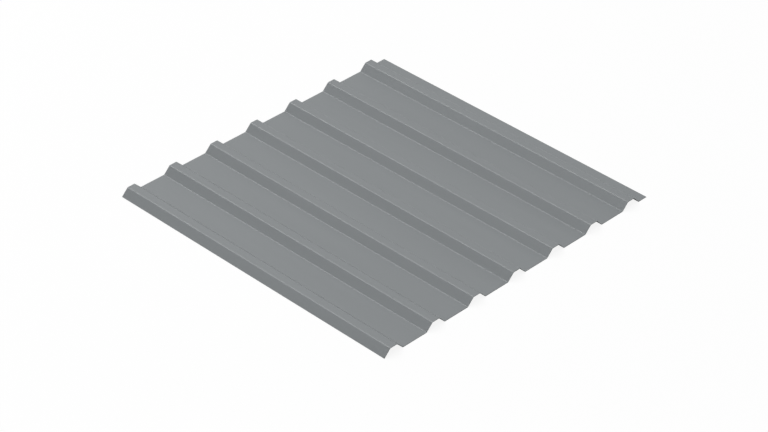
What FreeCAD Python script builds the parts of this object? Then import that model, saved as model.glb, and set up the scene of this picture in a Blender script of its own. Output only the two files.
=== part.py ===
# Profiled aluminium sheet: one rolled sheet with trapezoidal ribs between flat pans.
# Millimetres. X runs across the ribs, Y along them and Z up. The origin is under the
# middle of the sheet, at the level of the pans' underside, where the sheet lies flat.
import FreeCAD, Part
import math
import os
import Sketcher

NODE = "profiled_sheet"

# Driving sizes of the rolled section, each measured as a maker's drawing gives it.
SIZES = [
    ("sheet_length", 1109, "cut length, along the ribs"),
    ("rib_pitch", 166.67, "from the centre of one rib to the centre of the next"),
    ("bay_count", 6, "pans between ribs, so there is one rib more than this"),
    ("profile_depth", 25, "from the pans' underside to the top of the crests"),
    ("crest_width", 27, "on top of a rib, between its sharp corners"),
    ("flank_run", 23.5, "width that one sloping side takes up, seen from above"),
    ("underlap_flat", 35, "plain flat beyond the last rib, which goes under the next sheet"),
    ("gauge", 1.5, "thickness of the metal"),
    ("bend_radius", 4, "inside radius of every bend"),
]

# The two surfaces of a flank are one gauge apart, so the corners of the lower surface
# stand this far to the side of those of the upper one.
FLANK_ANGLE = "atan2(dims.profile_depth - dims.gauge; dims.flank_run)"
MITRE = f"(dims.gauge * tan({FLANK_ANGLE} / 2))"

# Places across one rib, from its centre line.
CREST_OUTSIDE = "(dims.crest_width / 2)"
CREST_INSIDE = f"({CREST_OUTSIDE} - {MITRE})"
FOOT_INSIDE = f"({CREST_OUTSIDE} + dims.flank_run)"
FOOT_OUTSIDE = f"({FOOT_INSIDE} - {MITRE})"

# Heights above the pans' underside.
CREST_TOP = "dims.profile_depth"
CREST_UNDERSIDE = "(dims.profile_depth - dims.gauge)"
PAN_TOP = "dims.gauge"
PAN_UNDERSIDE = "0"

# The free lip of the first rib is cut square to its flank, and its lower corner is level
# with the underside of the pans.
LIP_REACH = f"({FOOT_OUTSIDE} + dims.gauge * sin({FLANK_ANGLE}))"
LIP_HEIGHT = f"(dims.gauge * cos({FLANK_ANGLE}))"

LAST_RIB = "(dims.rib_pitch * dims.bay_count)"
FLAT_REACH = f"({LAST_RIB} + {FOOT_INSIDE} + dims.underlap_flat)"


def make_size_sheet(doc):
    sheet = doc.addObject("Spreadsheet::Sheet", "dims")
    for row, (name, value, meaning) in enumerate(SIZES, start=1):
        sheet.set(f"A{row}", str(value))
        sheet.setAlias(f"A{row}", name)
        sheet.set(f"B{row}", meaning)
    doc.recompute()


def value_of(owner, formula):
    return float(owner.evalExpression(formula))


def origin_feature(body, role):
    for feature in body.Origin.OriginFeatures:
        if feature.Role == role:
            return feature
    raise ValueError(f"the body has no {role}")


# How a sketch numbers the two ends of a line, and its own origin.
START, END = 1, 2
SKETCH_ORIGIN = (-1, START)


def tie_corner(sketch, direction, line, distance, formula):
    """Hold the start of a line at a distance from the sketch's origin, given by a formula."""
    constraint = Sketcher.Constraint(direction, *SKETCH_ORIGIN, line, START, distance)
    index = sketch.addConstraint(constraint)
    sketch.setExpression(f"Constraints[{index}]", formula)


def add_section(body, name, corners):
    """A closed outline in the cross-section's plane, each corner tied to the size sheet."""
    sketch = body.newObject("Sketcher::SketchObject", name)
    sketch.AttachmentSupport = (origin_feature(body, "XZ_Plane"), "")
    sketch.MapMode = "FlatFace"
    points = []
    for across, height in corners:
        points.append(FreeCAD.Vector(value_of(sketch, across), value_of(sketch, height), 0))
    for line, point in enumerate(points):
        sketch.addGeometry(Part.LineSegment(point, points[(line + 1) % len(points)]))
    for line, (across, height) in enumerate(corners):
        following = (line + 1) % len(corners)
        sketch.addConstraint(Sketcher.Constraint("Coincident", line, END, following, START))
        tie_corner(sketch, "DistanceX", line, points[line].x, across)
        tie_corner(sketch, "DistanceY", line, points[line].y, height)
    return sketch


def add_run(body, name, section):
    """The section drawn out to the sheet's length, as far to the front as to the back."""
    pad = body.newObject("PartDesign::Pad", name)
    pad.Profile = section
    pad.SideType = "Symmetric"
    pad.setExpression("Length", "dims.sheet_length")
    return pad


def add_bay(body):
    """From the centre of one crest, down across a pan, to the centre of the next crest."""
    section = add_section(body, "bay_section", [
        ("0", CREST_TOP),
        (CREST_OUTSIDE, CREST_TOP),
        (FOOT_INSIDE, PAN_TOP),
        (f"dims.rib_pitch - {FOOT_INSIDE}", PAN_TOP),
        (f"dims.rib_pitch - {CREST_OUTSIDE}", CREST_TOP),
        ("dims.rib_pitch", CREST_TOP),
        ("dims.rib_pitch", CREST_UNDERSIDE),
        (f"dims.rib_pitch - {CREST_INSIDE}", CREST_UNDERSIDE),
        (f"dims.rib_pitch - {FOOT_OUTSIDE}", PAN_UNDERSIDE),
        (FOOT_OUTSIDE, PAN_UNDERSIDE),
        (CREST_INSIDE, CREST_UNDERSIDE),
        ("0", CREST_UNDERSIDE),
    ])
    return add_run(body, "bay", section)


def repeat_bay(body, bay):
    pattern = body.newObject("PartDesign::LinearPattern", "bays")
    pattern.Originals = [bay]
    pattern.Direction = (origin_feature(body, "X_Axis"), [""])
    pattern.Mode = "Spacing"
    pattern.setExpression("Offset", "dims.rib_pitch")
    pattern.setExpression("Occurrences", "dims.bay_count")
    body.Tip = pattern


def add_overlap_edge(body):
    """The outer half of the first rib, which goes over the rib of the sheet beside it."""
    section = add_section(body, "overlap_section", [
        ("0", CREST_TOP),
        (f"-{CREST_OUTSIDE}", CREST_TOP),
        (f"-{LIP_REACH}", LIP_HEIGHT),
        (f"-{FOOT_OUTSIDE}", PAN_UNDERSIDE),
        (f"-{CREST_INSIDE}", CREST_UNDERSIDE),
        ("0", CREST_UNDERSIDE),
    ])
    return add_run(body, "overlap_edge", section)


def add_underlap_edge(body):
    """The outer half of the last rib with the plain flat beyond it."""
    section = add_section(body, "underlap_section", [
        (LAST_RIB, CREST_TOP),
        (f"{LAST_RIB} + {CREST_OUTSIDE}", CREST_TOP),
        (f"{LAST_RIB} + {FOOT_INSIDE}", PAN_TOP),
        (FLAT_REACH, PAN_TOP),
        (FLAT_REACH, PAN_UNDERSIDE),
        (f"{LAST_RIB} + {FOOT_OUTSIDE}", PAN_UNDERSIDE),
        (f"{LAST_RIB} + {CREST_INSIDE}", CREST_UNDERSIDE),
        (LAST_RIB, CREST_UNDERSIDE),
    ])
    return add_run(body, "underlap_edge", section)


def bend_lines(body, crest_corner, crest_level, foot_corner, foot_level):
    """Where one surface bends: at both sides of each crest, and at each foot.

    The outer side of the first rib is the free lip, which has no foot.
    """
    bay_total = round(value_of(body, "dims.bay_count"))
    crest, foot = value_of(body, crest_corner), value_of(body, foot_corner)
    crest_height, foot_height = value_of(body, crest_level), value_of(body, foot_level)
    lines = []
    for rib in range(bay_total + 1):
        centre = value_of(body, f"dims.rib_pitch * {rib}")
        lines.append((centre - crest, crest_height))
        lines.append((centre + crest, crest_height))
        lines.append((centre + foot, foot_height))
        if rib > 0:
            lines.append((centre - foot, foot_height))
    return lines


def edges_on(shape, lines):
    """Names of the shape's long edges that lie on the given lines along Y."""
    tolerance = 0.01
    names = []
    for number, edge in enumerate(shape.Edges, start=1):
        start, end = edge.Vertexes[0].Point, edge.Vertexes[-1].Point
        if math.hypot(start.x - end.x, start.z - end.z) > tolerance:
            continue
        for across, height in lines:
            if math.hypot(start.x - across, start.z - height) < tolerance:
                names.append(f"Edge{number}")
    return names


def round_bends(body, name, base, lines, radius):
    bends = body.newObject("PartDesign::Fillet", name)
    bends.Base = (base, edges_on(base.Shape, lines))
    bends.setExpression("Radius", radius)
    body.Tip = bends
    body.Document.recompute()
    return bends


def make_profiled_sheet(doc):
    body = doc.addObject("PartDesign::Body", NODE)
    body.Label = NODE
    bay = add_bay(body)
    doc.recompute()
    repeat_bay(body, bay)
    add_overlap_edge(body)
    plain_sheet = add_underlap_edge(body)
    doc.recompute()

    inside = bend_lines(body, CREST_INSIDE, CREST_UNDERSIDE, FOOT_INSIDE, PAN_TOP)
    outside = bend_lines(body, CREST_OUTSIDE, CREST_TOP, FOOT_OUTSIDE, PAN_UNDERSIDE)
    inner_bends = round_bends(body, "inside_of_bends", plain_sheet, inside, "dims.bend_radius")
    round_bends(body, "outside_of_bends", inner_bends, outside, "dims.bend_radius + dims.gauge")

    body.setExpression("Placement.Base.x", f"({LIP_REACH} - {FLAT_REACH}) / 2")
    doc.recompute()
    return body


def check_document(doc):
    for item in doc.Objects:
        if "Invalid" in item.State or "Error" in item.State:
            raise RuntimeError(f"{item.Name} did not compute: {item.State}")


def check_solid(body):
    shape = body.Shape
    if shape.isNull() or not shape.isValid():
        raise RuntimeError(f"{body.Label} has no valid shape")
    if len(shape.Solids) != 1:
        raise RuntimeError(f"{body.Label} is {len(shape.Solids)} solids, not one")


document = FreeCAD.newDocument(NODE)
make_size_sheet(document)
profiled_sheet = make_profiled_sheet(document)
check_document(document)
check_solid(profiled_sheet)
os.makedirs("parts", exist_ok=True)
profiled_sheet.Shape.exportStep(f"parts/{profiled_sheet.Label}.step")

box = profiled_sheet.Shape.BoundBox
print(f"{profiled_sheet.Label}: {box.XLength:.2f} x {box.YLength:.2f} x {box.ZLength:.2f} mm")
print(f"x {box.XMin:.3f} to {box.XMax:.3f}, y {box.YMin:.3f} to {box.YMax:.3f}, z {box.ZMin:.3f}")
print(f"volume {profiled_sheet.Shape.Volume:.1f} mm3, faces {len(profiled_sheet.Shape.Faces)}")
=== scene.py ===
import math

import bpy
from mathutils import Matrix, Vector


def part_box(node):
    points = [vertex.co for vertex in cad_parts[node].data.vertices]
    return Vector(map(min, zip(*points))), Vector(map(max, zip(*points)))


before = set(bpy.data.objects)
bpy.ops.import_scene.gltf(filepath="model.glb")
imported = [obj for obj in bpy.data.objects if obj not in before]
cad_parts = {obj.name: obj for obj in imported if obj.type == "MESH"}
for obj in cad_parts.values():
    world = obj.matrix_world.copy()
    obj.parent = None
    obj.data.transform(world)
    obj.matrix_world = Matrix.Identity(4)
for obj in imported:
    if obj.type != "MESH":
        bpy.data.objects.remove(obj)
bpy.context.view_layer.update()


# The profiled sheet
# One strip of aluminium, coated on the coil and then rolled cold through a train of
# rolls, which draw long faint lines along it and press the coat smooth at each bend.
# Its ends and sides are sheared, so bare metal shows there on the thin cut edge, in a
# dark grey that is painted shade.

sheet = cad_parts["profiled_sheet"]
sheet_low, sheet_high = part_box("profiled_sheet")


class Wire:
    """A socket in a material's node tree. Sums written with wires add Math nodes."""

    def __init__(self, tree, socket=None):
        self.tree = tree
        self.socket = socket

    def node(self, kind, settings=None, sockets=None, output=0):
        """A node of this kind. The wire that comes back leaves from the named output."""
        made = self.tree.nodes.new(kind)
        for name, value in (settings or {}).items():
            setattr(made, name, value)
        for name, value in (sockets or {}).items():
            if isinstance(value, Wire):
                self.tree.links.new(value.socket, made.inputs[name])
            else:
                made.inputs[name].default_value = value
        return Wire(self.tree, made.outputs[output]) if len(made.outputs) else None

    def math(self, operation, *values):
        return self.node("ShaderNodeMath", {"operation": operation}, dict(enumerate(values)))

    def __add__(self, other):
        return self.math("ADD", self, other)

    def __radd__(self, other):
        return self.math("ADD", other, self)

    def __sub__(self, other):
        return self.math("SUBTRACT", self, other)

    def __rsub__(self, other):
        return self.math("SUBTRACT", other, self)

    def __mul__(self, other):
        return self.math("MULTIPLY", self, other)

    def __rmul__(self, other):
        return self.math("MULTIPLY", other, self)

    def __gt__(self, other):
        return self.math("GREATER_THAN", self, other)

    def __lt__(self, other):
        return self.math("LESS_THAN", self, other)

    def either(self, other):
        return self.math("MAXIMUM", self, other)

    def size(self):
        return self.math("ABSOLUTE", self)

    def ramp(self, start, end):
        """0 at start, 1 at end, smooth between them."""
        return self.node(
            "ShaderNodeMapRange",
            {"interpolation_type": "SMOOTHSTEP"},
            {"Value": self, "From Min": start, "From Max": end},
        )

    def part(self, axis):
        """The X, Y or Z of a vector."""
        return self.node("ShaderNodeSeparateXYZ", None, {"Vector": self}, output=axis)

    def stretched(self, across, along, up):
        """A place in metres, measured out in steps of these lengths in millimetres."""
        steps = [1000 / across, 1000 / along, 1000 / up]
        return self.node("ShaderNodeVectorMath", {"operation": "MULTIPLY"}, {0: self, 1: steps})

    def cloud(self, detail=2.0):
        """Soft noise about one unit across, from 0 to 1 and mostly near a half."""
        return self.node(
            "ShaderNodeTexNoise",
            {"noise_dimensions": "3D"},
            {"Vector": self, "Scale": 1.0, "Detail": detail, "Roughness": 0.5},
        )

    def blend(self, from_colour, to_colour):
        """From one colour at 0 to another at 1. The node numbers its colours 6, 7 and 2."""
        sockets = {"Factor": self, 6: from_colour, 7: to_colour}
        return self.node("ShaderNodeMix", {"data_type": "RGBA"}, sockets, output=2)


def paint(red, green, blue):
    """A colour as it looks on a screen, 0 to 255 each, turned into light values."""
    levels = []
    for value in (red, green, blue):
        level = value / 255
        levels.append(level / 12.92 if level <= 0.04045 else ((level + 0.055) / 1.055) ** 2.4)
    return (*levels, 1.0)


def empty_material(name):
    material = bpy.data.materials.new(name)
    material.use_nodes = True
    material.node_tree.nodes.clear()
    return material, Wire(material.node_tree)


def finish_surface(tree, **values):
    """The one shader of a solid surface, with values or wires on its sockets."""
    sockets = {name.replace("_", " "): value for name, value in values.items()}
    shader = tree.node("ShaderNodeBsdfPrincipled", None, sockets)
    tree.node("ShaderNodeOutputMaterial", None, {"Surface": shader})


def coated_aluminium():
    material, tree = empty_material("coated_aluminium")
    place = tree.node("ShaderNodeTexCoord", output="Object")
    facing = tree.node("ShaderNodeTexCoord", output="Normal")
    facing_across, facing_up = facing.part("X"), facing.part("Z")

    # Bare metal shows on the sheared faces: both ends, the underlap side and the lip.
    square_on = 0.9
    lip_cut_width = 0.0011
    end_face = facing.part("Y").size() > square_on
    side_face = facing_across > square_on
    lip_face = (place.part("X") < sheet_low.x + lip_cut_width) * (facing_up < 0.0)
    cut_face = end_face.either(side_face).either(lip_face)

    # The shear also lifts the coat in specks along each end. They are rarer further in,
    # and none is further in than this.
    speck_reach = 0.0016
    speck_level, no_speck_level = 0.52, 0.87
    from_end = sheet_high.y - place.part("Y").size()
    speck_noise = place.stretched(2.5, 1.2, 2.5).cloud(3.0)
    rarer = from_end * ((no_speck_level - speck_level) / speck_reach)
    bare = cut_face.either((speck_noise - rarer) > speck_level)

    # The coat: a film that is a little thicker and thinner in long bands, with fine
    # lines from the rolls and a grain finer than sand. The backing coat under the sheet
    # is duller than the weather coat, and its darker grey is painted shade for the underside.
    bands = place.stretched(55, 900, 55).cloud(2.0)
    roll_lines = place.stretched(1.6, 420, 1.6).cloud(3.0)
    grain = place.stretched(0.35, 0.35, 0.35).cloud(1.0)
    shade = (bands * 0.5 + roll_lines * 0.3 + grain * 0.2).ramp(0.3, 0.7)
    weather_coat = shade.blend(paint(122, 126, 128), paint(125, 129, 131))
    shaded_backing_coat = shade.blend(paint(116, 118, 118), paint(122, 124, 124))
    weather_side = facing_up > 0.0
    coat = weather_side.blend(shaded_backing_coat, weather_coat)

    # Sheared metal is dull and has fine upright tears. Its dark grey is painted shade,
    # which darkens the cut faces and the specks to a shaded line.
    tears = place.stretched(0.4, 0.4, 6).cloud(3.0)
    shaded_bare_metal = tears.ramp(0.3, 0.7).blend(paint(66, 69, 71), paint(92, 95, 97))
    metal_dullness = 0.5 + tears * 0.2
    metal_shine = 0.3

    # The lean is 0 on the flats and 0.7 on the flanks, and a bend lies between. The
    # rolls polish the coat there.
    lean = facing_across.size()
    bend = lean.ramp(0.03, 0.2) * (1 - lean.ramp(0.5, 0.68))
    plain_dullness, backing_dullness = 0.40, 0.75
    unevenness = (roll_lines - 0.5) * 0.10 + (bands - 0.5) * 0.06
    polish = bend * 0.045
    weather_dullness = plain_dullness + unevenness - polish
    coat_dullness = weather_side * weather_dullness + (1 - weather_side) * backing_dullness

    # The film dries with a faint orange peel, and the rolls leave their lines in it.
    # At the bends it is pressed smooth.
    peel = place.stretched(1.4, 1.8, 1.4).cloud(1.0)
    film = (peel * 0.6 + roll_lines * 0.4) * (1 - bend * 0.8)
    relief_depth, relief_strength = 0.00006, 0.35
    tear_height = 1.5
    height = film + bare * tears * tear_height
    relief = tree.node(
        "ShaderNodeBump",
        None,
        {"Height": height, "Strength": relief_strength, "Distance": relief_depth},
    )
    finish_surface(
        tree,
        Base_Color=bare.blend(coat, shaded_bare_metal),
        Metallic=bare * metal_shine,
        Roughness=bare * metal_dullness + (1 - bare) * coat_dullness,
        Normal=relief,
        IOR=1.5,
    )
    return material


sheet.data.materials[0] = coated_aluminium()


# The floor
# A plain pale studio floor that the sheet lies flat on. From above it shows almost
# white with the sheet's soft shadow on it. From below it can be looked through.

def studio_floor():
    half_width = 30.0
    clearance = 0.0001
    corners = [(-1, -1), (1, -1), (1, 1), (-1, 1)]
    places = [(x * half_width, y * half_width, sheet_low.z - clearance) for x, y in corners]
    mesh = bpy.data.meshes.new("floor")
    mesh.from_pydata(places, [], [(0, 1, 2, 3)])
    floor = bpy.data.objects.new("floor", mesh)
    bpy.context.scene.collection.objects.link(floor)
    return floor


def floor_finish():
    material, tree = empty_material("pale_floor")
    seen = tree.node("ShaderNodeLightPath", output="Is Camera Ray")
    from_below = tree.node("ShaderNodeNewGeometry", output="Backfacing")
    pale = paint(255, 255, 255)
    lit = tree.node("ShaderNodeBsdfDiffuse", None, {"Color": pale})
    white = tree.node("ShaderNodeEmission", None, {"Color": pale, "Strength": 1.0})
    evenness = 0.88
    top = tree.node("ShaderNodeMixShader", None, {0: evenness, 1: lit, 2: white})
    clear = tree.node("ShaderNodeBsdfTransparent")
    shown = seen * (1 - from_below)
    surface = tree.node("ShaderNodeMixShader", None, {0: shown, 1: clear, 2: top})
    tree.node("ShaderNodeOutputMaterial", None, {"Surface": surface})
    return material


floor = studio_floor()
floor.data.materials.append(floor_finish())


# The light
# An even surround, which the camera and the gloss of the coat see as white, with a
# large soft lamp high beyond the far ends of the ribs, which lights the bends, and a
# second one above the lip side. What the floor throws back comes from below, dimmer.

def surround():
    world = bpy.data.worlds.new("surround")
    world.use_nodes = True
    world.node_tree.nodes.clear()
    tree = Wire(world.node_tree)
    seen = tree.node("ShaderNodeLightPath", output="Is Camera Ray")
    in_gloss = tree.node("ShaderNodeLightPath", output="Is Glossy Ray")
    through = tree.node("ShaderNodeLightPath", output="Is Transmission Ray")
    below = tree.node("ShaderNodeTexCoord", output="Generated").part("Z") < 0.0
    sky_level, floor_level = 0.27, 0.4
    level = below * (floor_level - sky_level) + sky_level
    seen_as_white = seen.either(in_gloss.either(through) * (1 - below))
    white = paint(255, 255, 255)
    strength = seen_as_white.either(level)
    glow = tree.node("ShaderNodeBackground", None, {"Color": white, "Strength": strength})
    tree.node("ShaderNodeOutputWorld", None, {"Surface": glow})
    return world


bpy.context.scene.world = surround()


def direction(azimuth, elevation):
    """Away from the sheet. Degrees round from the near side, and up from the floor."""
    turn, lift = math.radians(azimuth), math.radians(elevation)
    level_part = math.cos(lift)
    return Vector((math.sin(turn) * level_part, -math.cos(turn) * level_part, math.sin(lift)))


def soft_lamp(name, azimuth, elevation, distance, width, power):
    towards = direction(azimuth, elevation)
    data = bpy.data.lights.new(name, "AREA")
    data.shape = "SQUARE"
    data.size = width
    data.energy = power
    lamp = bpy.data.objects.new(name, data)
    lamp.location = towards * distance
    lamp.rotation_mode = "QUATERNION"
    lamp.rotation_quaternion = towards.to_track_quat("Z", "Y")
    bpy.context.scene.collection.objects.link(lamp)
    return lamp


soft_lamp("high_lamp", azimuth=180, elevation=54.6, distance=18.0, width=12.6, power=1730)
soft_lamp("side_lamp", azimuth=-72, elevation=68, distance=18.0, width=7.7, power=1030)


# The camera
# It looks down on the sheet from over the corner between the lip side and the near
# ends of the ribs, from far off through a long lens.

def photograph_camera():
    back = direction(azimuth=-45.0, elevation=35.0)
    looked_at = Vector((-0.0707, -0.0700, 0.0009))
    distance = 7.923
    data = bpy.data.cameras.new("camera")
    data.sensor_width = 36.0
    data.lens = 125.4
    data.clip_start = 0.1
    data.clip_end = 200.0
    camera = bpy.data.objects.new("camera", data)
    camera.location = looked_at + back * distance
    camera.rotation_mode = "QUATERNION"
    camera.rotation_quaternion = (-back).to_track_quat("-Z", "Y")
    bpy.context.scene.collection.objects.link(camera)
    return camera


bpy.context.scene.camera = photograph_camera()
bpy.context.scene.view_settings.view_transform = "Standard"
